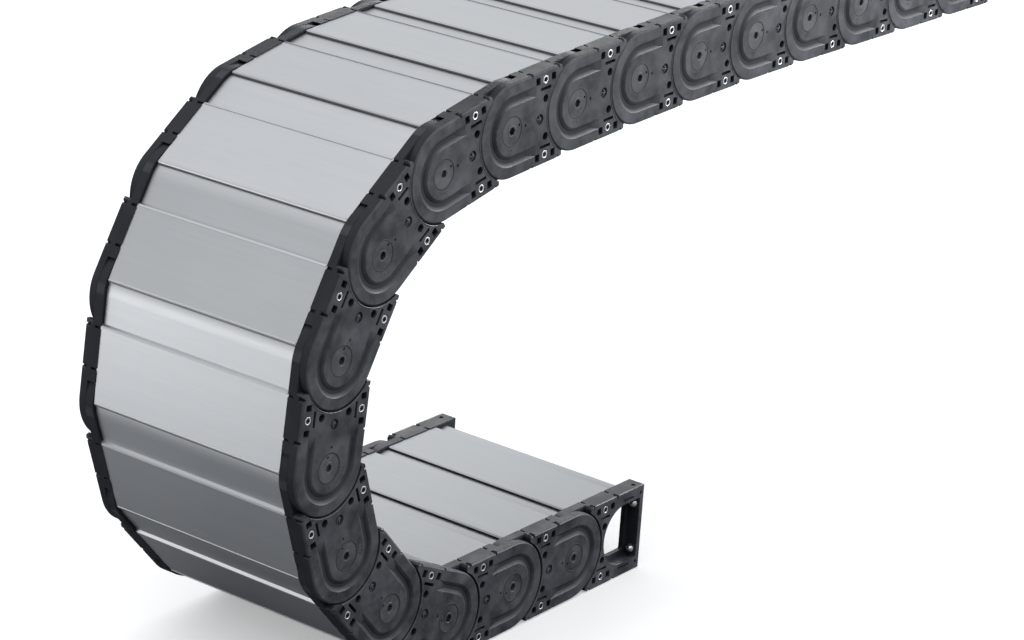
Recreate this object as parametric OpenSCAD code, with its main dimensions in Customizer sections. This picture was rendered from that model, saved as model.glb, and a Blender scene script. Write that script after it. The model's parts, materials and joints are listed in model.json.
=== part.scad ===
// Closed cable drag chain: moulded link plates, extruded aluminium covers,
// bayonet pivot pins and two end brackets, laid out as a U-shaped run.
//
// Chain frame: +Z up, Y across the chain, origin at the centre of the bolt
// pattern in the end face of the fixed bracket. The run leaves it along -X.
// Link frame: origin on the link's own pivot, X towards the next pivot,
// Z towards the outside of the bend, Y across the chain. Plate depths are
// measured inwards from the outer face of a plate.

/* [Chain] */
// Distance between two pivots
pitch = 130; // [128:1:150]
// Number of moving links
link_count = 18; // [14:1:18]
// Clear width between the plates
inner_width = 298; // [150:1:400]
// Angle at which the stops of two links meet
stop_angle = 24; // [16:0.5:26]
// Number of joints bent to their stop at rest
bent_joints = 7; // [6:1:8]
// First joint that is bent at rest
first_bent = 2; // [1:1:3]
// Angle of the joint where the bend runs out into the upper run
run_out_angle = 7.5; // [0:0.5:12]
// Number of joints after it that still bend a little
crown_joints = 5; // [0:1:5]
// Angle of each of these joints
crown_angle = 0.9; // [0:0.1:1.5]

/* [Link plates] */
// Height of a link plate, and the diameter of its round ends
plate_h = 120; // [118:0.5:122]
// Thickness of the layer that carries the head
head_layer_t = 12; // [11:0.5:15]
// Thickness of the layer that carries the tail
tail_layer_t = 12; // [11.5:0.5:15]
// Running gap between a head and the tail behind it
layer_gap = 0.5; // [0.3:0.1:1]
// Gap round a head, to the layer that it turns in
head_gap = 1.5; // [1:0.1:2.5]
// Gap round a tail, to the layer that it turns in
tail_gap = 3.5; // [3:0.1:5]
// Distance from the next pivot to the squared corners of the head layer
corner_back = 32; // [28:1:36]
// Chamfer on those corners
corner_cut = 3; // [1:0.5:4]
// Bevel round the outer rim of a head
rim_bevel = 2; // [1:0.25:3]

/* [Plate face] */
// Inner radius of the groove round the pivot
groove_r = 31; // [29:0.5:33]
// Width of the groove
groove_w = 14; // [10:0.5:15]
// Depth of the groove
groove_depth = 2.8; // [1:0.1:3.2]
// Width of the groove's sloping sides
groove_slope = 5; // [1:0.5:6]
// Length of the groove's straight legs
groove_leg = 46; // [40:1:48]
// Length over which the legs run out
groove_fade = 18; // [10:1:24]
// Depth of the pockets, slots and round holes
pocket_depth = 14; // [8:0.5:18]
// Length of a pocket along the link
pocket_l = 8.5; // [7:0.25:10]
// Height of a pocket
pocket_h = 9.5; // [8:0.25:10.5]
// Corner radius of a pocket
pocket_r = 1.5; // [1:0.25:2.5]
// Distance of a pocket from the middle of the link
pocket_off = 15.3; // [12.5:0.1:17]
// Distance of the pockets' middle from the plate's edge
pocket_in = 11; // [10:0.25:12.5]
// Length of a tie slot
slot_l = 20.5; // [14:0.5:24]
// Width of a tie slot
slot_w = 4; // [3:0.25:5]
// Distance of the tie slots from the plate's edge
slot_in = 22.8; // [21.5:0.1:24]
// Radius of the round holes
hole_r = 5.1; // [4:0.1:6]
// Distance of the round holes from the plate's edge
hole_in = 35.8; // [34:0.1:38]
// Radius of the shallow dimple
dimple_r = 6.8; // [5:0.1:7.5]
// Depth of the shallow dimple
dimple_depth = 2; // [0.5:0.1:3]
// Distance from the pivot to the dimple
dimple_x = 53.5; // [50:0.5:55]
// Width of the vee notches in the outer edges of a plate
vee_w = 6; // [4:0.25:6.5]
// Depth of the vee notches
vee_depth = 5; // [3:0.25:5.5]
// Width of the square notches in the inner edges of a plate
notch_w = 3.6; // [2.5:0.1:5]
// Depth of the square notches
notch_depth = 3.8; // [2:0.1:5]
// Distance of the notches from the middle of the link
notch_off = 26; // [25.5:0.25:26.5]
// How far the notches reach in from either face of a plate
notch_reach = 8.5; // [6:0.5:9]

/* [Pivot pins] */
// Distance of the pin's head below the plate's face
pin_sink = 0.3; // [0.1:0.05:0.6]
// Radius of the pin's head
pin_head_r = 18.3; // [17:0.1:20]
// Thickness of the pin's head
pin_head_t = 5; // [4:0.25:6]
// Radius of the pin's shaft
pin_r = 13; // [11:0.1:13.5]
// Radial running clearance of the shaft
pin_gap = 0.3; // [0.2:0.05:0.5]
// Gap round the pin's head
pin_head_gap = 0.9; // [0.3:0.05:1.1]
// How far the bayonet lugs stand out from the shaft
lug_out = 3.5; // [2:0.1:4]
// Thickness of the bayonet lugs
lug_t = 3.5; // [2.5:0.1:4]
// Half of the angle that a bayonet lug spans
lug_half = 22; // [15:1:28]
// Play of the bayonet lugs against their shoulder
lug_play = 0.4; // [0.3:0.05:0.8]
// Distance of the pin's end below the tail's inner face
pin_end_drop = 1; // [0.5:0.1:2]
// Distance across the corners of the pin's socket
socket_d = 10.5; // [8:0.5:12]
// Depth of the pin's socket
socket_depth = 4; // [3:0.25:4.5]
// Radius of the index marks on pin and plate
mark_r = 1.8; // [0.8:0.1:2]
// Distance from the pivot to the index mark on the pin
mark_in = 14.3; // [12:0.1:15]
// Angle of the index mark on the pin from the link's centre line
mark_turn = 18; // [0:1:40]
// Distance from the pivot to the index mark on the plate
mark_out = 25.5; // [23.5:0.1:27]
// Depth of the index marks
mark_depth = 1.2; // [0.4:0.1:1.6]
// Clearance of the key slots that the lugs pass through
key_gap = 0.5; // [0.3:0.1:1]
// Angle by which a key slot is wider than its lug, on either side
key_play = 3; // [2:0.5:4]

/* [Angle stops] */
// Inner radius of the stop blocks
stop_in_r = 31; // [25:0.5:33]
// Outer radius of the stop blocks
stop_out_r = 45; // [40:0.5:50]
// Half of the angle that a stop block spans
stop_half = 15; // [10:0.5:20]
// Height of a stop block above its head layer
stop_h = 5.5; // [4:0.25:7]
// Angular play at each end of the stop recess
stop_play = 0.6; // [0.5:0.05:1.5]
// Gap between a stop block and the floor and sides of its recess
stop_gap = 0.5; // [0.3:0.05:1]

/* [Covers] */
// Distance of the cover's face below the plate's edge
cover_drop = 1.5; // [1:0.25:3]
// Thickness of the cover's main panel
cover_t = 3; // [2.5:0.1:4]
// Thickness of the cover's sealing lip strip
strip_t = 2.5; // [2:0.1:3]
// Gap between a sealing strip and the panel that passes over it
strip_gap = 0.5; // [0.3:0.05:1]
// Distance from the pivot to the lip of the outer cover
outer_lip_back = 5.2; // [3:0.1:7]
// Distance from the next pivot to the lip of the inner cover
inner_lip_back = 4; // [3:0.1:6]
// Distance from the next pivot to the step in the outer cover
outer_step_back = 35.6; // [30:0.1:40]
// Distance from the pivot to the step in the inner cover
inner_step = 24.7; // [23.5:0.1:28]
// Angle by which a strip runs on under the lip at full bend
strip_lap = 4; // [2:0.5:6]
// Length of the slope from the outer cover's panel down to its strip
step_slope = 2; // [1:0.25:4]
// Bevel on the lip of a cover
lip_bevel = 1.2; // [0.5:0.1:2]
// Distance by which the covers clear the turning layers of the plates
side_clear = 1; // [0.5:0.1:3]
// Length of a cover that clears them, from either pivot
side_clear_l = 34; // [30:0.5:38]
// Distance from a bracket's end face to the end of its covers
cover_stop_back = 22; // [20:0.5:26]

/* [Cover screws] */
// Distance of the screws from the plate's edge
screw_in = 12; // [11:0.25:13]
// Radius of a screw's head
screw_head_r = 5; // [4.5:0.1:5.3]
// Thickness of a screw's head
screw_head_t = 3.4; // [2.5:0.1:4]
// Radius of a screw's shank
screw_r = 2.9; // [2.4:0.05:3]
// Clearance round a screw's shank
screw_gap = 0.2; // [0.1:0.05:0.4]
// Gap round a screw's head
screw_head_gap = 0.8; // [0.4:0.1:1]
// Distance of a screw's head below the plate's face
screw_drop = 0.6; // [0.2:0.1:1.5]
// How far a screw reaches into its cover
screw_grip = 16; // [10:1:25]
// Wall of the screw channel in a cover
channel_wall = 1.4; // [1.2:0.1:2]
// Thickness of the stem that carries the screw channel
stem_t = 4; // [2:0.25:6]
// Distance across the corners of the screw's socket
screw_socket_d = 6; // [4:0.25:6.5]
// Depth of the screw's socket
screw_socket_depth = 2.2; // [1.5:0.1:2.4]

/* [End brackets] */
// Distance from the pivot to the end face of a bracket
bracket_len = 150; // [145:1:170]
// Thickness of the wall behind the end face
end_wall = 7; // [5:0.5:9]
// Height of the rails above and below the bracket's window
rail_h = 17; // [16:0.5:20]
// Distance from the pivot to the round end of the window
window_from = 66; // [65.5:0.5:68]
// Depth of the lip at the back of the window
window_lip = 6.5; // [4:0.5:8]
// Width of the lip at the back of the window
lip_w = 7; // [5:0.5:9]
// Corner radius of the window
window_r = 3; // [1.5:0.25:3.5]
// Radius of the bolt holes in the end face
bolt_r = 4.2; // [3.5:0.1:4.5]
// Distance of the bolt holes from the bracket's edge
bolt_in = 27; // [26.5:0.5:30]
// Depth of the bolt holes below the plate's outer face
bolt_depth = 9; // [8:0.25:11]
// Radius of the thread in a domed nut
nut_bore_r = 3.4; // [3:0.1:3.8]
// Depth of the thread in a domed nut
nut_bore = 5; // [3:0.25:5.5]
// Radius of the domed nuts
dome_r = 6; // [5.5:0.1:6.5]
// Height of the domed nuts
dome_h = 8; // [7:0.25:10]
// Radius of the upright holes in the rails
rail_hole_r = 3.3; // [2.5:0.1:4]
// Distance from the end face to the upright holes
rail_hole_back = 13; // [12:0.25:16]
// Length of the slots in the rails
rail_slot_l = 23; // [16:0.5:26]
// Width of the slots in the rails
rail_slot_w = 3; // [2:0.25:4]
// Distance from the end face to the middle of the rail slots
rail_slot_back = 34; // [30:0.5:37]
// Distance of the rail slots from the bracket's edge
rail_slot_in = 11.5; // [10:0.25:12.5]
// Depth of the rail slots
rail_slot_depth = 8; // [4:0.5:10]
// Radius of the small holes in the bracket's corners
corner_hole_r = 2.4; // [1.5:0.1:3]
// Distance of the corner holes from the end face
corner_hole_back = 7; // [5:0.25:9]
// Distance of the corner holes from the bracket's edge
corner_hole_in = 10; // [8:0.25:12]

/* [Hidden] */
$fn = 64;
sides = [-1, 1];
head_r = plate_h / 2;
mid_x = pitch / 2;
pocket_z = head_r - pocket_in;
slot_z = head_r - slot_in;
hole_z = head_r - hole_in;
screw_z = head_r - screw_in;
bolt_z = head_r - bolt_in;
rail_slot_z = head_r - rail_slot_in;
window_half = head_r - rail_h;
corner_x = pitch - corner_back;
shoulder_flat = 2;
shoulder_x = sqrt(pow(head_r + tail_gap, 2) - pow(head_r, 2)) + shoulder_flat;
tail_y = head_layer_t + layer_gap;
plate_t = tail_y + tail_layer_t;
outer_width = inner_width + 2 * plate_t;
cover_z = head_r - cover_drop;
strip_r = cover_z - cover_t - strip_gap;
strip_start = atan(inner_lip_back / (cover_z - cover_t)) + strip_lap;
strip_end = stop_angle - atan(outer_lip_back / (cover_z - cover_t)) + strip_lap;
outer_step_x = pitch - outer_step_back;
channel_r = screw_r + screw_gap + channel_wall;
pin_end = plate_t - pin_end_drop;
lug_r = pin_r + lug_out;
shoulder_y = pin_end - lug_t - lug_play;
cut_over = 1;
plate_colour = "#43464a";
cover_colour = "#c3c6c9";
steel_colour = "#dcdee0";

function two(k) = k < 10 ? str("0", k) : str(k);
function link_name(k, piece) = str("link_", two(k + 1), "_", piece);

// The run: how far each joint is bent at rest, the heading of each link and
// the place of each pivot. Link -1 stands for the fixed bracket.
function turn(k) =
    k < first_bent ? 0
    : k < first_bent + bent_joints ? stop_angle
    : k == first_bent + bent_joints ? run_out_angle
    : k <= first_bent + bent_joints + crown_joints ? crown_angle
    : 0;
function heading(k) = k < 0 ? 180 : heading(k - 1) - turn(k);
function pivot(k) =
    k < 0 ? [pitch - bracket_len, 0, 0]
    : pivot(k - 1) + pitch * [cos(heading(k - 1)), 0, sin(heading(k - 1))];

module at_link(k) {
    translate(pivot(k)) rotate([0, -heading(k), 0]) children();
}

// One plate becomes the pair, near and far, with its outer faces outwards.
module pair() {
    for (side = sides)
        scale([1, -side, 1]) translate([0, -outer_width / 2, 0]) children();
}

// Extrudes a side view across the chain, from depth y0 to depth y1.
module across(y0, y1) {
    translate([0, y1, 0]) rotate([90, 0, 0]) linear_extrude(height = y1 - y0) children();
}

// A side view turned end for end, for a bracket that points back at link -1.
module end_for_end() {
    translate([pitch, 0, 0]) mirror([1, 0, 0]) children();
}

module rounded_rect(l, h, r) {
    square([l - 2 * r, h], center = true);
    square([l, h - 2 * r], center = true);
    for (x = sides, z = sides)
        translate([x * (l / 2 - r), z * (h / 2 - r)]) circle(r = r);
}

// Part of a ring between two angles less than 180 degrees apart.
module ring_part(r_in, r_out, from, to) {
    far = 2 * r_out;
    mid = (from + to) / 2;
    intersection() {
        difference() {
            circle(r = r_out);
            if (r_in > 0) circle(r = r_in);
        }
        polygon([
            [0, 0],
            far * [cos(from), sin(from)],
            far * [cos(mid), sin(mid)],
            far * [cos(to), sin(to)]]);
    }
}

// Extrudes a section in Y and Z along the link, from x0 to x1.
module along(x0, x1) {
    translate([x0, 0, 0]) rotate([90, 0, 90]) linear_extrude(height = x1 - x0) children();
}

// Sweeps a section of [radius, depth] round the link-side half of a head.
module round_head() {
    rotate([-90, 0, 0]) rotate([0, 0, 90]) rotate_extrude(angle = 180) children();
}

// ---- side views of the two layers of a plate ----

module round_end(l) {
    circle(r = head_r);
    translate([0, -head_r]) square([l, plate_h]);
}

module hollow_end(from, to, gap) {
    difference() {
        translate([from, -head_r]) square([to - from, plate_h]);
        circle(r = head_r + gap);
    }
}

module corner_chamfers(x) {
    for (z = sides)
        translate([x, z * head_r]) rotate(45) square(corner_cut * sqrt(2), center = true);
}

module link_head_layer() {
    difference() {
        round_end(corner_x);
        translate([pitch, 0]) circle(r = head_r + head_gap);
        corner_chamfers(corner_x);
    }
}

module link_tail_layer() {
    difference() {
        translate([pitch, 0]) mirror([1, 0]) round_end(pitch - shoulder_x);
        circle(r = head_r + tail_gap);
    }
}

// A plate from the side views of its head layer and its tail layer. Both
// layers are one piece where they overlap.
module layered_plate() {
    across(0, head_layer_t) children(0);
    across(0, plate_t) intersection() {
        children(0);
        children(1);
    }
    across(tail_y, plate_t) children(1);
}

// ---- details of the plates' outer faces, with the pivot at 0 ----

module pocket_pattern() {
    for (z = sides) {
        for (x = sides)
            translate([mid_x + x * pocket_off, z * pocket_z])
                rounded_rect(pocket_l, pocket_h, pocket_r);
        translate([mid_x, z * slot_z]) square([slot_l, slot_w], center = true);
        translate([mid_x, z * hole_z]) circle(r = hole_r);
    }
}

module screw_holes() {
    for (z = sides) translate([mid_x, 0, z * screw_z]) {
        across(-cut_over, plate_t + cut_over) circle(r = screw_r + screw_gap);
        across(-cut_over, screw_drop + screw_head_t) circle(r = screw_head_r + screw_head_gap);
    }
}

module edge_notches() {
    vee = [
        [-vee_w / 2, 0],
        [0, -vee_depth],
        [vee_w / 2, 0],
        [vee_w / 2, cut_over],
        [-vee_w / 2, cut_over]];
    for (x = sides, z = [0, 1]) mirror([0, 0, z]) translate([mid_x + x * notch_off, 0, head_r]) {
        across(-cut_over, notch_reach) polygon(vee);
        across(plate_t - notch_reach, plate_t + cut_over)
            square([notch_w, 2 * notch_depth], center = true);
    }
}

module body_cuts() {
    across(-cut_over, pocket_depth) pocket_pattern();
    screw_holes();
    edge_notches();
}

// Bevel round the outer rim of a head and along its straight edges.
module head_bevel(l) {
    bevel = [
        [head_r - rim_bevel - cut_over, -cut_over],
        [head_r + cut_over, -cut_over],
        [head_r + cut_over, rim_bevel + cut_over]];
    round_head() polygon(bevel);
    for (z = [0, 1]) mirror([0, 0, z])
        along(0, l) polygon([for (p = bevel) [p[1], p[0]]]);
}

// Shallow groove that loops round the pivot and fades out in two legs.
module face_groove() {
    over = groove_slope * cut_over / groove_depth;
    section = [
        [groove_r - over, -cut_over],
        [groove_r + groove_w + over, -cut_over],
        [groove_r + groove_w - groove_slope, groove_depth],
        [groove_r + groove_slope, groove_depth]];
    round_head() polygon(section);
    for (z = [0, 1]) mirror([0, 0, z]) intersection() {
        along(0, groove_leg) polygon([for (p = section) [p[1], p[0]]]);
        linear_extrude(height = head_r) polygon([
            [0, -cut_over],
            [groove_leg, -cut_over],
            [groove_leg, 0],
            [groove_leg - groove_fade, groove_depth],
            [0, groove_depth]]);
    }
}

module face_marks() {
    across(-cut_over, dimple_depth) translate([dimple_x, 0]) circle(r = dimple_r);
    across(-cut_over, mark_depth) translate([mark_out, 0]) circle(r = mark_r);
}

// ---- pivot: bayonet pin, key slots and angle stops ----

module key_slots() {
    for (turn = [90, 270])
        ring_part(0, lug_r + key_gap, turn - lug_half - key_play, turn + lug_half + key_play);
}

module head_bore() {
    across(-cut_over, pin_sink + pin_head_t) circle(r = pin_head_r + pin_head_gap);
    across(-cut_over, tail_y) {
        circle(r = pin_r + pin_gap);
        key_slots();
    }
}

module tail_bore() {
    across(tail_y - cut_over, plate_t + cut_over) {
        circle(r = pin_r + pin_gap);
        key_slots();
    }
    across(shoulder_y, plate_t + cut_over) circle(r = lug_r + key_gap);
}

// Two stop blocks stand on the inner side of a head.
module stop_blocks() {
    across(head_layer_t / 2, head_layer_t + stop_h)
        for (turn = [90, 270])
            ring_part(stop_in_r, stop_out_r, turn - stop_half, turn + stop_half);
}

// They run in two recesses in the tail. The recesses' ends stop the link.
module stop_recesses() {
    across(tail_y - cut_over, head_layer_t + stop_h + stop_gap)
        for (turn = [90, 270])
            ring_part(
                stop_in_r - stop_gap, stop_out_r + stop_gap,
                turn - stop_half - stop_angle - stop_play, turn + stop_half + stop_play);
}

module pivot_pin() {
    difference() {
        union() {
            across(pin_sink, pin_sink + pin_head_t) circle(r = pin_head_r);
            across(pin_sink, pin_end) circle(r = pin_r);
            across(pin_end - lug_t, pin_end)
                for (turn = [0, 180])
                    ring_part(0, lug_r, turn - lug_half, turn + lug_half);
        }
        across(-cut_over, pin_sink + socket_depth) circle(r = socket_d / 2, $fn = 6);
        across(-cut_over, pin_sink + mark_depth)
            rotate(mark_turn) translate([mark_in, 0]) circle(r = mark_r);
    }
}

module cover_screw() {
    difference() {
        union() {
            across(screw_drop, screw_drop + screw_head_t) circle(r = screw_head_r);
            across(screw_drop, plate_t + screw_grip) circle(r = screw_r);
        }
        across(-cut_over, screw_drop + screw_socket_depth)
            circle(r = screw_socket_d / 2, $fn = 6);
    }
}

module cover_screws() {
    for (z = sides) translate([mid_x, 0, z * screw_z]) cover_screw();
}

// ---- whole plates ----

module side_plate() {
    difference() {
        union() {
            layered_plate() {
                link_head_layer();
                link_tail_layer();
            }
            stop_blocks();
        }
        body_cuts();
        head_bevel(corner_x + cut_over);
        face_groove();
        face_marks();
        head_bore();
        translate([pitch, 0, 0]) {
            tail_bore();
            stop_recesses();
        }
    }
}

// ---- covers: profiles run across the chain ----

module screw_channel() {
    translate([mid_x, screw_z]) difference() {
        union() {
            circle(r = channel_r);
            translate([-stem_t / 2, 0]) square([stem_t, cover_z - cover_t / 2 - screw_z]);
        }
        circle(r = screw_r + screw_gap);
    }
}

// Main panel of a cover, with a bevelled lip at one end.
module panel(from, to, lip_at) {
    difference() {
        translate([from, cover_z - cover_t]) square([to - from, cover_t]);
        translate([lip_at, cover_z]) rotate(45) square(lip_bevel * sqrt(2), center = true);
    }
}

// Outer cover: the panel's lip lies over the strip of the link before.
module outer_profile(to = outer_step_x) {
    panel(-outer_lip_back, to, -outer_lip_back);
    screw_channel();
}

module outer_strip() {
    polygon([
        [outer_step_x - cover_t, strip_r - strip_t],
        [outer_step_x - cover_t, cover_z],
        [outer_step_x, cover_z],
        [outer_step_x + step_slope, strip_r],
        [outer_step_x + step_slope, strip_r - strip_t]]);
    translate([outer_step_x, strip_r - strip_t])
        square([outer_step_back, strip_t]);
    translate([pitch, 0]) ring_part(strip_r - strip_t, strip_r, 90 - strip_end, 90);
}

// Inner cover: the panel's lip lies over the strip of the next link. The
// profile is drawn outwards and turned over for use.
module inner_profile(to = pitch - inner_lip_back) {
    panel(inner_step, to, to);
    screw_channel();
}

module inner_strip() {
    turn = [sin(stop_angle), cos(stop_angle)];
    ring_part(strip_r - strip_t, strip_r, 90 - stop_angle, 90 + strip_start);
    polygon([
        strip_r * turn,
        [inner_step, cover_z],
        [inner_step + cover_t, cover_z - cover_t],
        (strip_r - strip_t) * turn]);
}

// Spreads a profile over the clear width, a little less near both pivots.
module cover(from = -pitch, to = 2 * pitch) {
    half = inner_width / 2;
    across(-half + side_clear, half - side_clear) intersection() {
        children();
        translate([from, 0]) square([to - from, plate_h]);
    }
    across(-half, half) intersection() {
        children();
        translate([side_clear_l, 0]) square([pitch - 2 * side_clear_l, plate_h]);
    }
}

module turned_over() {
    mirror([0, 0, 1]) children();
}

// ---- pieces of one link ----

module link_side_plates(k) {
    color(plate_colour) at_link(k) pair() side_plate();
}

module link_covers(k) {
    color(cover_colour) at_link(k) {
        cover() {
            outer_profile();
            outer_strip();
        }
        turned_over() cover() {
            inner_profile();
            inner_strip();
        }
    }
}

module link_fasteners(k) {
    color(plate_colour) at_link(k) pair() pivot_pin();
    color(steel_colour) at_link(k) pair() cover_screws();
}

// ---- end brackets, drawn from their pivot towards their end face ----

// Window with a round end towards the pivot and a straight one at the wall.
module window(inset) {
    half = window_half - inset;
    centre = window_from + window_half;
    right = bracket_len - end_wall - inset;
    intersection() {
        translate([centre, 0]) circle(r = half);
        translate([0, -half]) square([centre, 2 * half]);
    }
    translate([centre - window_r, -half]) square([right - centre, 2 * half]);
    translate([centre, window_r - half])
        square([right - centre, 2 * (half - window_r)]);
    for (z = sides)
        translate([right - window_r, z * (half - window_r)]) circle(r = window_r);
}

module bracket_cuts() {
    body_cuts();
    across(-cut_over, plate_t - window_lip) window(0);
    across(-cut_over, plate_t + cut_over) window(lip_w);
    for (z = sides) {
        translate([bracket_len - end_wall - cut_over, bolt_depth, z * bolt_z])
            rotate([0, 90, 0]) cylinder(r = bolt_r, h = end_wall + 2 * cut_over);
        translate([bracket_len - rail_hole_back, bolt_depth, z * head_r])
            cylinder(r = rail_hole_r, h = 2 * (head_r - window_half + cut_over), center = true);
        across(-cut_over, rail_slot_depth) {
            translate([bracket_len - rail_slot_back, z * rail_slot_z])
                square([rail_slot_l, rail_slot_w], center = true);
            translate([bracket_len - corner_hole_back, z * (head_r - corner_hole_in)])
                circle(r = corner_hole_r);
        }
    }
}

module domed_nuts() {
    for (z = sides)
        translate([bracket_len - end_wall, bolt_depth, z * bolt_z]) rotate([0, -90, 0])
            difference() {
                union() {
                    cylinder(r = dome_r, h = dome_h - dome_r);
                    translate([0, 0, dome_h - dome_r]) intersection() {
                        sphere(r = dome_r);
                        cylinder(r = 2 * dome_r, h = dome_r);
                    }
                }
                translate([0, 0, -cut_over]) cylinder(r = nut_bore_r, h = nut_bore + cut_over);
            }
}

module fixed_bracket() {
    difference() {
        layered_plate() {
            difference() {
                hollow_end(corner_back, bracket_len, head_gap);
                corner_chamfers(corner_back);
            }
            round_end(bracket_len);
        }
        bracket_cuts();
        tail_bore();
        mirror([1, 0, 0]) stop_recesses();
    }
}

module moving_bracket() {
    difference() {
        union() {
            layered_plate() {
                round_end(bracket_len);
                hollow_end(shoulder_x, bracket_len, tail_gap);
            }
            stop_blocks();
        }
        bracket_cuts();
        head_bevel(bracket_len + cut_over);
        face_groove();
        face_marks();
        head_bore();
    }
}

module fixed_end_brackets() {
    color(plate_colour) at_link(-1) pair() end_for_end() fixed_bracket();
}

module fixed_end_covers() {
    from = pitch - bracket_len + cover_stop_back;
    color(cover_colour) at_link(-1) {
        cover(from) {
            outer_profile();
            outer_strip();
        }
        turned_over() cover(from) {
            inner_profile();
            inner_strip();
        }
    }
}

module fixed_end_fasteners() {
    color(steel_colour) at_link(-1) pair() {
        cover_screws();
        end_for_end() domed_nuts();
    }
}

module moving_end_brackets() {
    color(plate_colour) at_link(link_count) pair() moving_bracket();
}

module moving_end_covers() {
    to = bracket_len - cover_stop_back;
    color(cover_colour) at_link(link_count) {
        cover() outer_profile(to);
        turned_over() cover() {
            inner_profile(to);
            inner_strip();
        }
    }
}

module moving_end_fasteners() {
    color(plate_colour) at_link(link_count) pair() pivot_pin();
    color(steel_colour) at_link(link_count) pair() {
        cover_screws();
        domed_nuts();
    }
}

fixed_end_brackets();
fixed_end_covers();
fixed_end_fasteners();
for (k = [0 : link_count - 1]) {
    link_side_plates(k);
    link_covers(k);
    link_fasteners(k);
}
moving_end_brackets();
moving_end_covers();
moving_end_fasteners();
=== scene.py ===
# %% [markdown]
# Cable drag chain, dressed in Blender.
#
# A drag chain carries cables and hoses to a machine's moving part. Moulded
# plates turn on pivot pins, and aluminium covers close the channel between
# them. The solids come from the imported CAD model, and this lesson lights them,
# gives each one its finish and adds the small parts that finish it off.

# %% Load the chain
import bpy
import json
import math
from mathutils import Matrix, Vector


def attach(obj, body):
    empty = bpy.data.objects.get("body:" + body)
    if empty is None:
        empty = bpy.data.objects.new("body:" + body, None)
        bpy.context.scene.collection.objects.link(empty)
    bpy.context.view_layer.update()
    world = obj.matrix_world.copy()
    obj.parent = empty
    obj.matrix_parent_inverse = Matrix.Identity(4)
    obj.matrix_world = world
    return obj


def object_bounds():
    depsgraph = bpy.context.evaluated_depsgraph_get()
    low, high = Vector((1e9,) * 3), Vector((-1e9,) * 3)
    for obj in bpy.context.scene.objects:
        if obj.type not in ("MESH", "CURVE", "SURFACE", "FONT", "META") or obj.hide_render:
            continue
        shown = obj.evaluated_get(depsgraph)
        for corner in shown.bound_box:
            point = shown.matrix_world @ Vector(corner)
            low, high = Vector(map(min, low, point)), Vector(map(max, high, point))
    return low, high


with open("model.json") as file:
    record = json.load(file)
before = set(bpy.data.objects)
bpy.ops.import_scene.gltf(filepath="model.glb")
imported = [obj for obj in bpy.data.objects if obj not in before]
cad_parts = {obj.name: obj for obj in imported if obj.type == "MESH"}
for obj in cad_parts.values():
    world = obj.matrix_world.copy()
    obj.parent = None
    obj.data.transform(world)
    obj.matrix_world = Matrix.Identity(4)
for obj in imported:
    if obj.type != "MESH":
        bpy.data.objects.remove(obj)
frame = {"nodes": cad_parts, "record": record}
cad_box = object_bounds()
print("chain from", [round(v, 3) for v in cad_box[0]], "to", [round(v, 3) for v in cad_box[1]])

# %% [markdown]
# Every detail later on belongs to one link, so each link's place is worked out
# first. A joint of the model sits on each pivot, which gives the chain's centre
# line. A link points from its own pivot to the next one. The fixed bracket is
# placed as if it were a link that points the other way.

# %% Where each link is
joints = {
    joint["child"]: Vector(joint["pos_m"])
    for joint in frame["record"]["behaviour"]["joints"]}
links = [f"link_{number:02d}" for number in range(1, 19)]
chain = links + ["moving_end"]
headings = {}
for link, following in zip(links, chain[1:]):
    run = joints[following] - joints[link]
    headings[link] = math.atan2(run.z, run.x)
headings["moving_end"] = headings["link_18"]
headings["fixed_end"] = math.pi
pitch = (joints["link_02"] - joints["link_01"]).length
joints["fixed_end"] = joints["link_01"] + Vector((pitch, 0, 0))
fixed_and_links = ["fixed_end"] + links
bodies = ["fixed_end"] + chain
print(f"{len(links)} links, pitch {pitch * 1000:.1f} mm, {len(bodies)} bodies")

# %% [markdown]
# The chain is a long thing seen from far off with a long lens, which keeps its
# two runs nearly parallel. The camera stands in front on the left, a little
# above the upper run, and is turned by its three axes, written as a matrix.

# %% Camera
def add_camera(place, right, down, forward, lens):
    data = bpy.data.cameras.new("camera")
    data.lens = lens
    data.sensor_width = 36.0
    data.clip_end = 100.0
    camera = bpy.data.objects.new("camera", data)
    bpy.context.scene.collection.objects.link(camera)
    columns = [Vector(right), -Vector(down), -Vector(forward)]
    turn = Matrix([[column[row] for column in columns] for row in range(3)])
    camera.matrix_world = Matrix.Translation(place) @ turn.to_4x4()
    bpy.context.scene.camera = camera
    return camera

camera = add_camera(
    place=(-3.3305, -2.3991, 1.7289),
    right=(0.6116, -0.7886, 0.0634),
    down=(-0.2332, -0.2563, -0.9380),
    forward=(0.7560, 0.5590, -0.3407),
    lens=114.36)
print("camera", [round(v, 2) for v in camera.location], "lens", camera.data.lens)

# %% [markdown]
# A shader is a small sum: noise, masks and mixes of them. Wiring it by hand
# takes many lines, so one class wraps an output socket and lets + - * < > add
# the Math nodes.

# %% A wire that can be used in sums
class Wire:
    """An output socket that can be used in Python sums."""

    def __init__(self, finish, socket):
        self.finish, self.socket = finish, socket

    def sum(self, operation, a, b):
        return self.finish.add("ShaderNodeMath", {"operation": operation}, {0: a, 1: b})

    def __add__(self, other): return self.sum("ADD", self, other)
    def __radd__(self, other): return self.sum("ADD", other, self)
    def __rsub__(self, other): return self.sum("SUBTRACT", other, self)
    def __mul__(self, other): return self.sum("MULTIPLY", self, other)
    def __rmul__(self, other): return self.sum("MULTIPLY", other, self)
    def __gt__(self, other): return self.sum("GREATER_THAN", self, other)
    def __lt__(self, other): return self.sum("LESS_THAN", self, other)

print("wires can be added, taken away, multiplied and compared")

# %% [markdown]
# A second class holds one material. Its add method makes any node from its
# type, its settings and what goes into its sockets, and the short methods below
# it name the nodes that this chain's finishes need. All of them read Object
# coordinates, so a pattern stays on its piece when the chain moves.

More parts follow.
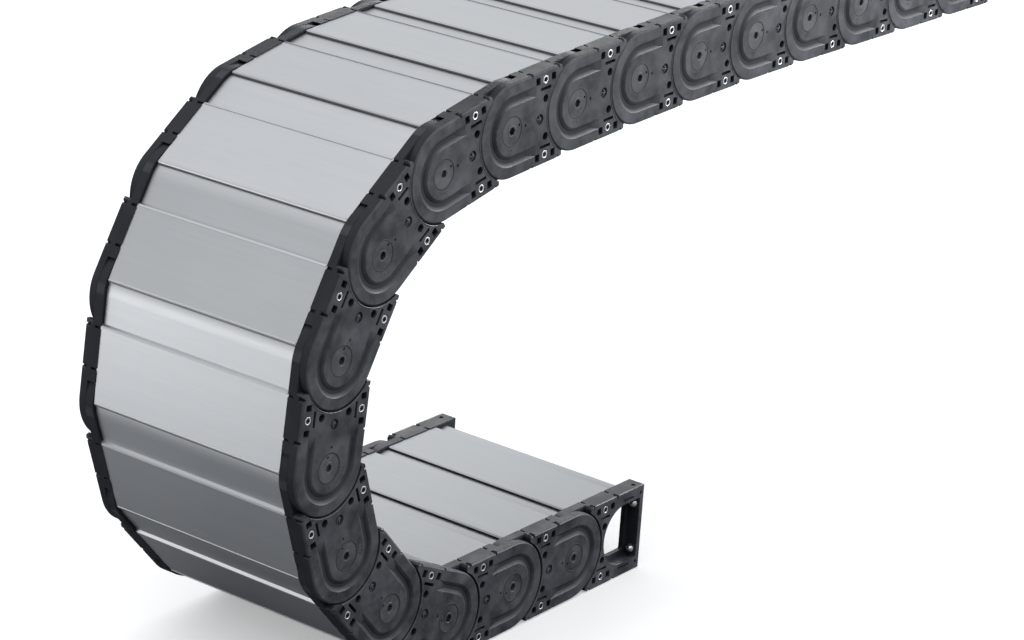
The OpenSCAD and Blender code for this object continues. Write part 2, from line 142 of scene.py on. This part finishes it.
# %% A finish
class Finish:
    """One material, written as sums of wires."""

    def __init__(self, name):
        self.material = bpy.data.materials.new(name)
        self.material.use_nodes = True
        self.tree = self.material.node_tree
        self.shader = self.tree.nodes["Principled BSDF"]

    def add(self, kind, settings, sockets, output=0):
        node = self.tree.nodes.new(kind)
        for key, value in settings.items():
            setattr(node, key, value)
        for key, value in sockets.items():
            self.feed(node.inputs[key], value)
        return Wire(self, node.outputs[output])

    def feed(self, socket, value):
        if isinstance(value, Wire):
            self.tree.links.new(value.socket, socket)
        else:
            socket.default_value = value

    def surface(self, **values):
        """Feeds the shader, so that base_color= goes into its Base Color socket."""
        for name, value in values.items():
            label = name.replace("_", " ").title().replace("Ior", "IOR")
            self.feed(self.shader.inputs[label], value)
        return self.material

    def place(self, scale=(1, 1, 1), location=(0, 0, 0)):
        spot = self.add("ShaderNodeTexCoord", {}, {}, "Object")
        return self.add("ShaderNodeMapping", {}, {
            "Vector": spot, "Scale": scale, "Location": location})

    def in_link(self, body):
        """Coordinates in a link's own frame: X towards the next pivot, Z outwards."""
        spot = self.add("ShaderNodeTexCoord", {}, {}, "Object")
        return self.add("ShaderNodeMapping", {"vector_type": "TEXTURE"}, {
            "Vector": spot, "Location": joints[body], "Rotation": (0, -headings[body], 0)})

    def vector_sum(self, operation, a, b, output="Vector"):
        return self.add("ShaderNodeVectorMath", {"operation": operation}, {0: a, 1: b}, output)

    def length(self, vector):
        return self.vector_sum("LENGTH", vector, (0, 0, 0), "Value")

    def noise(self, vector, scale, detail, roughness):
        return self.add("ShaderNodeTexNoise", {}, {
            "Vector": vector, "Scale": scale, "Detail": detail, "Roughness": roughness})

    def ramp(self, wire, low, high, start=0.0, end=1.0):
        return self.add("ShaderNodeMapRange", {}, {
            "Value": wire, "From Min": low, "From Max": high, "To Min": start, "To Max": end})

    def mix(self, factor, a, b):
        """Mixes two colours. Either one may be a wire."""
        a, b = [(*side, 1) if isinstance(side, tuple) else side for side in (a, b)]
        return self.add("ShaderNodeMix", {"data_type": "RGBA"}, {0: factor, 6: a, 7: b}, 2)

    def bump(self, height, distance, strength):
        return self.add("ShaderNodeBump", {}, {
            "Height": height, "Distance": distance, "Strength": strength})


def dress(node, material):
    """Gives a CAD node its finish."""
    slots = frame["nodes"][node].data.materials
    slots.clear()
    slots.append(material)

print("finishes can be written")

# %% [markdown]
# The plates are moulded from glass-filled nylon. It is nearly black with a
# bluish cast, and its skin is a fine grain that scatters the light, so
# highlights are broad and soft. Handling leaves pale, dry blotches on the
# outermost face. The finish measures how deep a point lies below the outer
# face and paints everything below it darker, a painted shade in the grooves,
# pockets and sides. The edges are painted palest, a painted highlight along
# with their wear, and a link's own frame shows where they are: ahead of the
# pivot they are straight, and behind it they run round the head.

# %% Where a plate wears, and where shade and highlight are painted
OUTER_FACE = abs(cad_box[0][1])
HALF_HEIGHT = 0.060
SKIN_STARTS, SKIN_FULL = OUTER_FACE - 0.0026, OUTER_FACE - 0.0002
RIM_STARTS, RIM_FULL, RIM_ENDS = HALF_HEIGHT - 0.0026, HALF_HEIGHT - 0.0012, HALF_HEIGHT - 0.0001

def skin(finish):
    """1 on the outer faces of the plates, falling to 0 a little below them."""
    either_side = finish.vector_sum("ABSOLUTE", finish.place(), (0, 0, 0))
    from_middle = finish.vector_sum("DOT_PRODUCT", either_side, (0, 1, 0), "Value")
    return finish.ramp(from_middle, SKIN_STARTS, SKIN_FULL)

# This edge mask paints a pale highlight along the edges, together with their wear.
def edge(finish, body):
    """1 along the rim of the round head and the long edges of a plate."""
    behind = finish.vector_sum("MINIMUM", finish.in_link(body), (0, 0, 1))
    reach = finish.length(finish.vector_sum("MULTIPLY", behind, (1, 0, 1)))
    return finish.ramp(reach, RIM_STARTS, RIM_FULL) * (reach < RIM_ENDS)

print("outer faces", OUTER_FACE, "m from the middle")

# %% [markdown]
# With those two masks the plastic itself is short. Broad clouds and finer
# blotches of wear mix a dark and a pale colour, the painted shade below the
# outer face darkens it, the painted highlight on the edges lightens it, and a
# fine grain gives the skin its relief. The outer skin is smoother than the
# sides, which the mould leaves dull. Each link has its own copy, because its
# edges lie somewhere else.

# %% Moulded plastic
DARK = (0.008, 0.0092, 0.0122)
# The pale colour is used for wear, and on the plates also for the painted edge highlight.
PALE_PLASTIC = (0.112, 0.118, 0.134)
GRAIN = (1400.0, 2.0, 0.6)

def plastic(name, body):
    finish = Finish(name)
    top, rim = skin(finish), edge(finish, body)
    spot = finish.place()
    cloud = finish.ramp(finish.noise(spot, 12.0, 3.0, 0.5), 0.34, 0.66)
    aside = finish.place((1, 1, 1), (3, 5, 7))
    blotch = finish.ramp(finish.noise(aside, 38.0, 6.0, 0.62), 0.36, 0.68)
    grain = finish.noise(spot, *GRAIN)
    # Blotches of wear on the outer face; painted shade darkens everything below the outer face,
    # the grooves, pockets and sides; a painted highlight lightens the edges, along with their
    # wear.
    wear_and_painted_light = (0.04 + 0.20 * cloud + 0.38 * blotch) * (0.25 + 0.75 * top) + 0.20 * rim
    return finish.surface(
        base_color=finish.mix(wear_and_painted_light, DARK, PALE_PLASTIC),
        specular_ior_level=0.25,
        roughness=0.66 - 0.30 * top + 0.12 * blotch + 0.08 * grain,
        normal=finish.bump(grain, 0.00012, 0.5))

for link in links:
    dress(f"{link}_side_plates", plastic(f"{link}_plastic", link))
for end in ("fixed_end", "moving_end"):
    dress(f"{end}_brackets", plastic(f"{end}_plastic", end))
print("plates and brackets dressed")

# %% [markdown]
# The covers are cut from extruded aluminium profile and satin anodised. The die
# leaves fine straight lines along the profile, which here run across the chain.
# Noise that is stretched along Y gives such lines on faces of any slope.

# %% Anodised covers
DULL_ALUMINIUM, BRIGHT_ALUMINIUM = (0.44, 0.455, 0.47), (0.62, 0.63, 0.645)

def aluminium(name):
    finish = Finish(name)
    fine = finish.noise(finish.place((1, 0.012, 1)), 1500.0, 2.0, 0.5)
    broad = finish.noise(finish.place((1, 0.02, 1), (2, 0, 1)), 160.0, 4.0, 0.6)
    cloud = finish.noise(finish.place(), 5.0, 3.0, 0.5)
    tone = fine * 0.35 + broad * 0.35 + cloud * 0.3
    relief = fine * 0.5 + broad * 0.5
    return finish.surface(
        base_color=finish.mix(tone, DULL_ALUMINIUM, BRIGHT_ALUMINIUM),
        roughness=0.34 + 0.12 * fine + 0.08 * cloud,
        metallic=1.0,
        normal=finish.bump(relief, 0.00006, 0.35))

cover_aluminium = aluminium("cover_aluminium")
for body in bodies:
    dress(f"{body}_covers", cover_aluminium)
print("covers dressed")

# %% [markdown]
# A link's pins and screws are one solid group in the CAD model. The pins are of
# the plates' plastic and the screws of bright steel, so the finish measures how
# far a point is from the pivot's axis and changes from plastic to steel.

# %% Pins and screws
PIN_REACH = 0.03
DULL_STEEL, BRIGHT_STEEL = (0.62, 0.63, 0.64), (0.80, 0.81, 0.82)

def pins_and_screws(name, body):
    finish = Finish(name)
    spot = finish.place()
    cloud = finish.noise(spot, 28.0, 5.0, 0.65)
    grain = finish.noise(spot, *GRAIN)
    away = finish.vector_sum("MULTIPLY", finish.in_link(body), (1, 0, 1))
    steel = finish.length(away) > PIN_REACH
    plastic_colour = finish.mix(finish.ramp(cloud, 0.35, 0.65) * 0.5, DARK, PALE_PLASTIC)
    steel_colour = finish.mix(finish.noise(spot, 700.0, 3.0, 0.6), DULL_STEEL, BRIGHT_STEEL)
    return finish.surface(
        base_color=finish.mix(steel, plastic_colour, steel_colour),
        metallic=steel,
        roughness=(0.36 + 0.16 * cloud + 0.08 * grain) * (1 - steel) + 0.24 * steel,
        normal=finish.bump(grain, 0.0001, 0.3))

for body in bodies:
    dress(f"{body}_fasteners", pins_and_screws(f"{body}_pins_and_screws", body))
print("pins and screws dressed")

# %% [markdown]
# The last small parts are modelled by hand, with the same operators as in the
# window. An operator works on whatever is selected, so these helpers select
# first: a whole mesh, or only the points that pass a test. A piece ends with
# its doubled points merged and its faces turned outwards.

# %% Helpers for modelling
def clear_selection():
    bpy.ops.object.select_all(action="DESELECT")

def take(piece):
    """Makes a piece the only one that is selected and active."""
    clear_selection()
    piece.select_set(True)
    bpy.context.view_layer.objects.active = piece

def in_edit(*steps):
    """Runs operators on the whole of the active mesh."""
    bpy.ops.object.mode_set(mode="EDIT")
    bpy.ops.mesh.select_all(action="SELECT")
    for step in steps:
        step()
    bpy.ops.object.mode_set(mode="OBJECT")

def finish_piece(piece):
    """Applies a piece's place, merges doubled points and turns its faces outwards."""
    take(piece)
    bpy.ops.object.transform_apply(location=True, rotation=True, scale=True)
    in_edit(
        lambda: bpy.ops.mesh.remove_doubles(threshold=1e-6),
        lambda: bpy.ops.mesh.normals_make_consistent(inside=False))
    bpy.ops.object.shade_smooth_by_angle(angle=math.radians(35))

def select_where(piece, test):
    """Opens a piece in edit mode with only the points that pass a test selected."""
    bpy.ops.object.mode_set(mode="EDIT")
    bpy.ops.mesh.select_all(action="DESELECT")
    bpy.ops.mesh.select_mode(type="VERT")
    bpy.ops.object.mode_set(mode="OBJECT")
    for vertex in piece.data.vertices:
        vertex.select = test(vertex.co)
    bpy.ops.object.mode_set(mode="EDIT")

def bevel_all(offset):
    """Bevels the piece that is open in edit mode and closes it."""
    bpy.ops.mesh.select_all(action="SELECT")
    bpy.ops.mesh.bevel(offset=offset, segments=2)
    bpy.ops.object.mode_set(mode="OBJECT")

def join(pieces):
    take(pieces[0])
    for piece in pieces:
        piece.select_set(True)
    bpy.ops.object.join()
    return pieces[0]

clear_selection()
print("nothing is selected, and the helpers are ready")

# %% [markdown]
# Each part is modelled once, on a link that lies flat with its pivot at the
# origin, and then copied to all the others. Placing a copy moves its points and
# not its object, so that it turns with its link when the chain moves. The parts
# of the near side are mirrored to make the far side. What sits on the plates is
# also gathered in a collection of its own, for the lamps later on.

# %% Placing copies
side_parts = bpy.data.collections.new("side parts")
for node, piece in frame["nodes"].items():
    if not node.endswith("_covers"):
        side_parts.objects.link(piece)

def both_sides(piece):
    """Adds the far side's copy of a near side piece."""
    take(piece)
    bpy.ops.object.duplicate()
    far = bpy.context.object
    in_edit(lambda: bpy.ops.transform.mirror(
        constraint_axis=(False, True, False), center_override=(0, 0, 0)))
    return join([piece, far])

def link_place(body):
    turn = headings[body]
    along, out = (math.cos(turn), 0, math.sin(turn)), (-math.sin(turn), 0, math.cos(turn))
    axes = Matrix([[column[row] for column in (along, (0, 1, 0), out)] for row in range(3)])
    return Matrix.Translation(joints[body]) @ axes.to_4x4()

def copy_to(model, name, material, owners, slot):
    """Copies a model piece to each body that owns one, then removes the model."""
    finish_piece(model)
    model.data.materials.append(material)
    for body in owners:
        mesh = model.data.copy()
        mesh.name = f"{body}_{name}"
        mesh.transform(link_place(body))
        piece = bpy.data.objects.new(mesh.name, mesh)
        bpy.context.scene.collection.objects.link(piece)
        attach(piece, body)
        if slot != "covers":
            side_parts.objects.link(piece)
    print(f"{name}: {len(owners)} copies of {len(model.data.polygons)} faces")
    bpy.data.objects.remove(model)

# %% [markdown]
# The small parts need five more finishes: plastic that is polished by wear,
# bright steel, a near black that paints the shade inside the screw sockets, and a
# black and a grey that paint the shade in the gaps. They are too small for a
# pattern of their own, so one helper mottles a dark and a light colour and makes
# the gloss uneven by the same noise.

# %% Finishes of the small parts
def plain(name, dark, light, scale, rough, metallic=0.0):
    """A finish for small parts: mottled colour, uneven gloss and a fine relief."""
    finish = Finish(name)
    mottle = finish.noise(finish.place(), scale, 4.0, 0.6)
    return finish.surface(
        base_color=finish.mix(mottle, dark, light), metallic=metallic,
        roughness=rough + 0.12 * mottle, normal=finish.bump(mottle, 0.00005, 0.3))

bead_plastic = plain(
    "bead_plastic", (0.040, 0.043, 0.050), (0.085, 0.090, 0.100), 60.0, 0.30)
screw_steel = plain(
    "screw_steel", (0.58, 0.59, 0.60), (0.76, 0.77, 0.78), 900.0, 0.40, metallic=1.0)
# Painted shade: a near black for the inside of the screw sockets.
socket_shade = plain(
    "painted_socket_black", (0.008, 0.008, 0.009), (0.020, 0.020, 0.021), 500.0, 0.40)
# Painted shade: a black and a grey for the strips and rings that stand in the dark gaps.
painted_shade_black = plain(
    "painted_shade_black", (0.006, 0.006, 0.007), (0.014, 0.014, 0.015), 300.0, 0.62)
painted_shade_grey = plain(
    "painted_shade_grey", (0.100, 0.103, 0.107), (0.160, 0.164, 0.168), 300.0, 0.60)
print("five small finishes")

# %% [markdown]
# Each cover ends in a lip that slides over the next cover's strip. The extrusion
# has a slim rounded bead along that lip, which stiffens it and catches a bright
# line of light. A round bar flattened to a low ridge gives it, with its ends
# rounded over.

# %% Lip beads
COVER_FACE, COVER_WIDTH = 0.0585, 0.294
OUTER_LIP, INNER_LIP = -0.0052, pitch - 0.0040
BEAD_RADIUS, BEAD_FLATNESS, BEAD_INSET = 0.0012, 0.6, 0.0026

def bead(x, z):
    bpy.ops.mesh.primitive_cylinder_add(
        vertices=16, radius=BEAD_RADIUS, depth=COVER_WIDTH,
        location=(x, 0, z), rotation=(math.pi / 2, 0, 0))
    piece = bpy.context.object
    finish_piece(piece)
    in_edit(lambda: bpy.ops.transform.resize(
        value=(1, 1, BEAD_FLATNESS), center_override=(x, 0, z)))
    bevel = piece.modifiers.new("rounded ends", "BEVEL")
    bevel.width, bevel.segments = 0.0004, 2
    bevel.limit_method, bevel.angle_limit = "ANGLE", math.radians(60)
    bpy.ops.object.modifier_apply(modifier=bevel.name)
    return piece

outer_bead = bead(OUTER_LIP + BEAD_INSET, COVER_FACE)
copy_to(outer_bead, "outer_bead", cover_aluminium, chain, "covers")
inner_bead = bead(INNER_LIP - BEAD_INSET, -COVER_FACE)
copy_to(inner_bead, "inner_bead", cover_aluminium, fixed_and_links, "covers")

# %% [markdown]
# At its other end an outer cover steps down to the strip that the next lip
# slides over. A low ridge guards the edge of the step. It rises gently from the
# step and drops off sharply, so its long side leans towards the next link and
# catches light that the flat panel doesn't. It is a bar with one edge lowered.

# %% Step ridges
OUTER_STEP, RIDGE_WIDTH, RIDGE_HEIGHT = pitch - 0.0356, 0.0026, 0.0010

def step_ridge():
    x, z = OUTER_STEP - RIDGE_WIDTH / 2, COVER_FACE + RIDGE_HEIGHT / 2
    bpy.ops.mesh.primitive_cube_add(
        size=1, location=(x, 0, z), scale=(RIDGE_WIDTH, COVER_WIDTH, RIDGE_HEIGHT))
    piece = bpy.context.object
    finish_piece(piece)
    select_where(piece, lambda spot: spot.z > z and spot.x > x)
    bpy.ops.transform.translate(value=(0, 0, -0.9 * RIDGE_HEIGHT))
    bevel_all(0.00004)
    return piece

copy_to(step_ridge(), "step_ridge", cover_aluminium, fixed_and_links, "covers")

# %% [markdown]
# A thin dark strip stands in the slit under each lip, as painted shade for the
# shadow there. It shows as a thin line from plate to plate, grey outside and
# black inside. It is a long bar whose lower edge is drawn in to a blunt edge,
# just clear of the next cover's strip.

# %% Dark strips of painted shade under the lips
SHADE_STRIP_LEVEL, SHADE_STRIP_WIDTH, SHADE_STRIP_HEIGHT, SHADE_STRIP_GAP = 0.0564, 0.0009, 0.0022, 0.0004

def shade_strip(x, z, way):
    """A bar beside a lip. way is 1 on the outside of the chain and -1 on the inside."""
    bpy.ops.mesh.primitive_cube_add(
        size=1, location=(x, 0, z), scale=(SHADE_STRIP_WIDTH, COVER_WIDTH, SHADE_STRIP_HEIGHT))
    piece = bpy.context.object
    finish_piece(piece)
    select_where(piece, lambda spot: (spot.z - z) * way < 0)
    bpy.ops.transform.resize(value=(0.55, 1, 1), center_override=(x, 0, z))
    bevel_all(0.0001)
    return piece

# Painted shade: a grey strip under each outer lip and a black one under each inner lip.
outer_shade_strip = shade_strip(OUTER_LIP - SHADE_STRIP_GAP, SHADE_STRIP_LEVEL, 1)
copy_to(outer_shade_strip, "outer_shade_strip", painted_shade_grey, chain, "covers")
inner_shade_strip = shade_strip(INNER_LIP + SHADE_STRIP_GAP, -SHADE_STRIP_LEVEL, -1)
copy_to(inner_shade_strip, "inner_shade_strip", painted_shade_black, fixed_and_links, "covers")

# %% [markdown]
# The hollow that a plate's neighbour turns in has a raised edge on the mould,
# and it shows as a bright thin arc under each round head. A small disc is spun
# about the next pivot to make it.

# %% Raised edge of the hollow
HOLLOW_RADIUS, HOLLOW_HALF = 0.0622, math.radians(47)

def hollow_edge():
    bpy.ops.mesh.primitive_circle_add(
        vertices=8, radius=0.0007, fill_type="NGON",
        location=(pitch - HOLLOW_RADIUS, -OUTER_FACE, 0), rotation=(0, 0, 0))
    piece = bpy.context.object
    finish_piece(piece)
    pivot = (pitch, 0, 0)
    in_edit(
        lambda: bpy.ops.transform.rotate(
            value=HOLLOW_HALF, orient_axis="Y", center_override=pivot),
        lambda: bpy.ops.mesh.spin(
            steps=24, angle=2 * HOLLOW_HALF, center=pivot, axis=(0, -1, 0)))
    finish_piece(piece)
    return piece

edges = both_sides(hollow_edge())
heights = sorted(vertex.co.z for vertex in edges.data.vertices)
print("raised edge from", round(heights[0], 4), "to", round(heights[-1], 4))
copy_to(edges, "hollow_edges", bead_plastic, links, "plates")

# %% [markdown]
# The plates carry a few raised marks: three short ticks beside the pin, which
# show how far it has to be turned to lock, and an arrow in the shallow recess,
# which shows the way to open the link. They are thin, so low bars with a bevel
# are enough.

# %% Moulded ticks and arrow
TICK_RADIUS, TICK_ANGLES = 0.0235, (-112, -102, -92)
ARROW_DEPTH, ARROW_WIDTH, ARROW_HEIGHT, ARROW_SPREAD = 0.0013, 0.0012, 0.0016, 42

def bar(x, z, depth, length, width, height, degrees):
    turn = math.radians(degrees)
    bpy.ops.mesh.primitive_cube_add(
        size=1, location=(x, -OUTER_FACE + depth, z), rotation=(0, -turn, 0),
        scale=(length, height, width))
    piece = bpy.context.object
    finish_piece(piece)
    in_edit(lambda: bpy.ops.mesh.bevel(offset=0.00018, segments=2))
    return piece

def tick(degrees):
    turn = math.radians(degrees)
    x, z = TICK_RADIUS * math.cos(turn), TICK_RADIUS * math.sin(turn)
    return bar(x, z, 0, 0.0034, 0.0009, 0.0008, degrees)

def arrow_bar(x, z, length, degrees):
    return bar(x, z, ARROW_DEPTH, length, ARROW_WIDTH, ARROW_HEIGHT, degrees)

ticks = [tick(degrees) for degrees in TICK_ANGLES]
shaft = arrow_bar(0.0535, 0, 0.0080, 0)
barbs = [arrow_bar(0.0552, side * 0.0018, 0.0052, -side * ARROW_SPREAD) for side in (-1, 1)]
plate_marks = join(ticks + [shaft] + barbs)
copy_to(both_sides(plate_marks), "marks", bead_plastic, chain, "plates")

# %% [markdown]
# A pivot pin is turned with a hexagon key, and its head has a low raised ring
# round the socket. A black ring fills the gap round the head, a painted shade
# for the shadow in that gap. Each is a torus, flattened until only a soft
# ridge stands out.

# %% Rings on the pins
def ring(x, z, depth, radius, thick, flat, segments):
    spot = (x, -OUTER_FACE + depth, z)
    bpy.ops.mesh.primitive_torus_add(
        major_radius=radius, minor_radius=thick, major_segments=segments, minor_segments=8,
        location=spot, rotation=(math.pi / 2, 0, 0))
    piece = bpy.context.object
    finish_piece(piece)
    in_edit(lambda: bpy.ops.transform.resize(value=(1, flat, 1), center_override=spot))
    return piece

pin_ring = ring(0, 0, depth=0.0003, radius=0.0066, thick=0.0006, flat=0.4, segments=32)
copy_to(both_sides(pin_ring), "pin_rings", bead_plastic, chain, "pins_and_screws")
# Painted shade: a black ring in the gap round the pin head.
shade_ring = ring(0, 0, depth=0.0001, radius=0.0187, thick=0.0012, flat=0.24, segments=48)
copy_to(both_sides(shade_ring), "shade_rings", painted_shade_black, chain, "pins_and_screws")

# %% [markdown]
# The cover screws have low button heads: a bright turned rim round a socket
# that is coloured near black, a painted shade for the dark inside of the
# socket. The rim is a flattened torus. The socket is a six-sided cup, made
# from a hexagon by an inset and an extrusion.

# %% Button heads on the cover screws
SCREW_X, SCREW_Z = pitch / 2, 0.048

def screw_rim(z):
    return ring(SCREW_X, z, depth=0.0006, radius=0.0044, thick=0.0008, flat=0.5, segments=32)

def socket_cup(z):
    bpy.ops.mesh.primitive_circle_add(
        vertices=6, radius=0.0034, fill_type="NGON",
        location=(SCREW_X, -OUTER_FACE + 0.0004, z), rotation=(math.pi / 2, 0, 0))
    piece = bpy.context.object
    finish_piece(piece)
    in_edit(
        lambda: bpy.ops.mesh.inset(thickness=0.0006),
        lambda: bpy.ops.mesh.extrude_region_move(
            TRANSFORM_OT_translate={"value": (0, 0.0018, 0)}))
    return piece

crowns = join([screw_rim(side * SCREW_Z) for side in (-1, 1)])
copy_to(both_sides(crowns), "screw_crowns", screw_steel, bodies, "steel")
# Painted shade: the socket cup is near black.
cups = join([socket_cup(side * SCREW_Z) for side in (-1, 1)])
copy_to(both_sides(cups), "screw_sockets", socket_shade, bodies, "steel")

# %% [markdown]
# The floor is a wide pale sheet just under the lower run. The covers are nearly
# mirrors, so each one shows the tone of what it faces: the upper ones the
# ceiling, the front ones a wall, the lower ones the floor in the chain's own
# shade. That is what makes the bend read as round. So what the covers and the
# plates see of the paper is darkest under the bend, while the camera sees it
# white.

# %% Floor
WHITE_PAPER, SHADED_PAPER = (0.95, 0.95, 0.95), (0.215, 0.222, 0.232)
LIFT = (0.32, 0.32, 0.32)
floor_level = cad_box[0][2] - 0.001
clear_selection()
bpy.ops.mesh.primitive_plane_add(size=60, location=(0, 0, floor_level))
floor = bpy.context.object
floor.name = "floor"
bpy.ops.object.transform_apply(location=True, rotation=True, scale=True)
paper = Finish("paper")
under_bend = ((joints["link_03"].x + joints["link_09"].x) / 2, 0, 0)
spread = paper.vector_sum("DISTANCE", paper.place((1, 1, 0)), under_bend, "Value")
unseen = 1 - paper.add("ShaderNodeLightPath", {}, {}, "Is Camera Ray")
shade = unseen * paper.ramp(spread, 0.35, 1.6, 1.0, 0.55)
floor.data.materials.append(paper.surface(
    base_color=paper.mix(shade, WHITE_PAPER, SHADED_PAPER),
    emission_color=paper.mix(unseen, LIFT, (0, 0, 0)), emission_strength=1.0,
    roughness=0.9, specular_ior_level=0.1))
print("floor at", round(floor_level, 4))

# %% [markdown]
# The room is lit mostly from its ceiling and gets darker down to the horizon,
# which is what shades the covers around the bend. Behind the floor's edge the
# camera sees plain white.

# %% Room
HORIZON, CEILING, BACKDROP = 0.12, 1.45, 1.04
bpy.context.scene.view_settings.view_transform = "Standard"
world = bpy.data.worlds.new("room")
bpy.context.scene.world = world
world.use_nodes = True
nodes, wires = world.node_tree.nodes, world.node_tree.links
way = nodes.new("ShaderNodeTexCoord")
split = nodes.new("ShaderNodeSeparateXYZ")
height = nodes.new("ShaderNodeMapRange")
for name, value in {"From Min": -0.05, "To Min": HORIZON, "To Max": CEILING}.items():
    height.inputs[name].default_value = value
wires.new(way.outputs["Generated"], split.inputs[0])
wires.new(split.outputs["Z"], height.inputs["Value"])
seen = nodes.new("ShaderNodeLightPath")
shown = nodes.new("ShaderNodeMapRange")
shown.inputs["To Max"].default_value = BACKDROP
wires.new(seen.outputs["Is Camera Ray"], shown.inputs["Value"])
wires.new(height.outputs[0], shown.inputs["To Min"])
wires.new(shown.outputs[0], nodes["Background"].inputs["Strength"])
nodes["Background"].inputs["Color"].default_value = (0.965, 0.98, 1.0, 1)
print("room lit from", HORIZON, "at the horizon to", CEILING, "overhead")

# %% [markdown]
# Soft lamps shape the object. One stands high behind the upper run, and the flat
# covers mirror it, and a low one on the left shines in the covers at the front
# of the bend. The plates need stronger lamps, which would burn out in the
# covers, so those light only the plates and what sits on them. The key lamps
# shine back from the slopes of the grooves that face up, one on either side of
# the chain, and one above each side fills in.

# %% Lamps
def lamp(name, place, target, size, power, only=None):
    data = bpy.data.lights.new(name, "AREA")
    data.shape = "RECTANGLE"
    data.size, data.size_y = size
    data.energy = power
    light = bpy.data.objects.new(name, data)
    bpy.context.scene.collection.objects.link(light)
    light.location = place
    aim = Vector(target) - Vector(place)
    light.rotation_euler = aim.to_track_quat("-Z", "Y").to_euler()
    if only:
        light.light_linking.receiver_collection = only

lamp("behind", (3.4, 3.0, 1.9), (0, 0, 0.4), (4.0, 2.4), 15)
lamp("low_left", (-2.5, 1.45, 0.3), (-0.7, 0, 0.33), (1.5, 0.9), 9)
for side, name in ((-1, "near"), (1, "far")):
    key_place, fill_place = (1.75, side * 1.55, 1.2), (-0.9, side * 1.5, 3.0)
    lamp(f"{name}_key", key_place, (-0.2, 0, 0.3), (1.0, 1.0), 72, side_parts)
    lamp(f"{name}_fill", fill_place, (-0.1, 0, 0.4), (0.9, 0.9), 14, side_parts)
